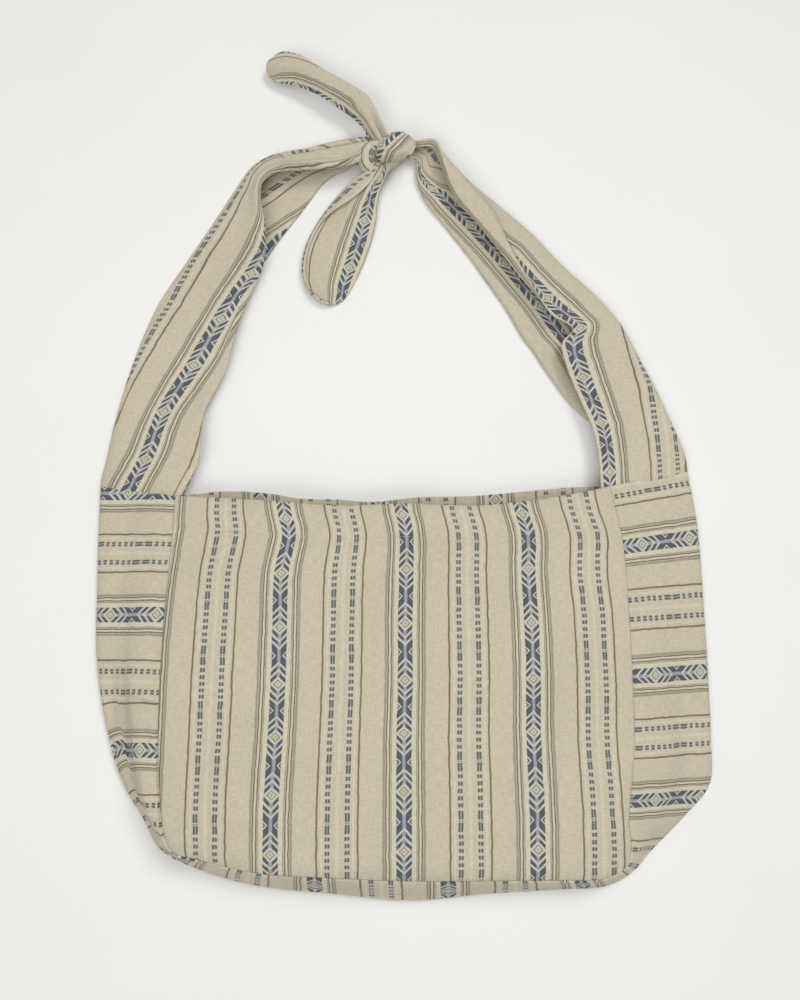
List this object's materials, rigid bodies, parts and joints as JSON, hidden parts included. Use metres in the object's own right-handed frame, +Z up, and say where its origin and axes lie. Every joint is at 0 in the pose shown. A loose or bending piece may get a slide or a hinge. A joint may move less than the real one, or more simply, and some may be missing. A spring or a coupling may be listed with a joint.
{
  "type": "crossbody bag",
  "caption": "Soft cloth crossbody bag lying on its back, with a folded gusset round its sides and bottom, an open mouth and wide folded straps tied in a knot.",
  "frame": {"origin": "middle of the whole bag and strap in plan, on the surface the bag lies on", "axes": "+X across the bag to the right as seen from its front, +Y from the bag's bottom towards the knot, +Z up out of the front panel"},
  "size_m": [0.4937, 0.707, 0.043],
  "materials": {
    "front_cloth": "matte striped cotton-linen weave",
    "back_cloth": "matte striped cotton-linen weave",
    "gusset_cloth": "matte striped cotton-linen weave",
    "strap_left_cloth": "matte striped cotton-linen weave, two layers",
    "strap_right_cloth": "matte striped cotton-linen weave, two layers"
  },
  "bodies": {
    "root": {"front_panel": "front_cloth", "back_panel": "back_cloth", "gusset": "gusset_cloth", "strap_left": "strap_left_cloth", "strap_right": "strap_right_cloth"}
  },
  "joints": []
}
